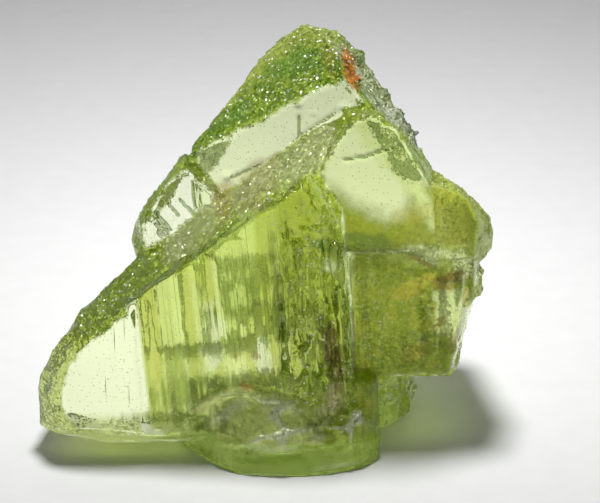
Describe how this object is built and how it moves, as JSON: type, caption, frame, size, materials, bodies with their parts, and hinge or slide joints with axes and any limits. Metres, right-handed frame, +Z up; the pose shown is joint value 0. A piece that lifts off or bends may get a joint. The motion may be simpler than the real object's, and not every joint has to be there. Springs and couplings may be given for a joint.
{
  "type": "peridot crystal",
  "caption": "Gem olivine crystal of stepped, grown-together plates with a striated broad face, sloping frosted shoulders and a flat foot to stand on.",
  "frame": {"origin": "middle of the outline's box, at the level of the flat foot", "axes": "+Z up along the crystal's height, -Y out of the broad striated face, +X to the right of that face"},
  "size_m": [0.0182, 0.0104, 0.0163],
  "materials": {
    "peridot": "clear yellow-green gem crystal, flat faces bright, sloping shoulders frosted by etching"
  },
  "bodies": {
    "root": {"peridot_crystal": "peridot"}
  },
  "joints": []
}
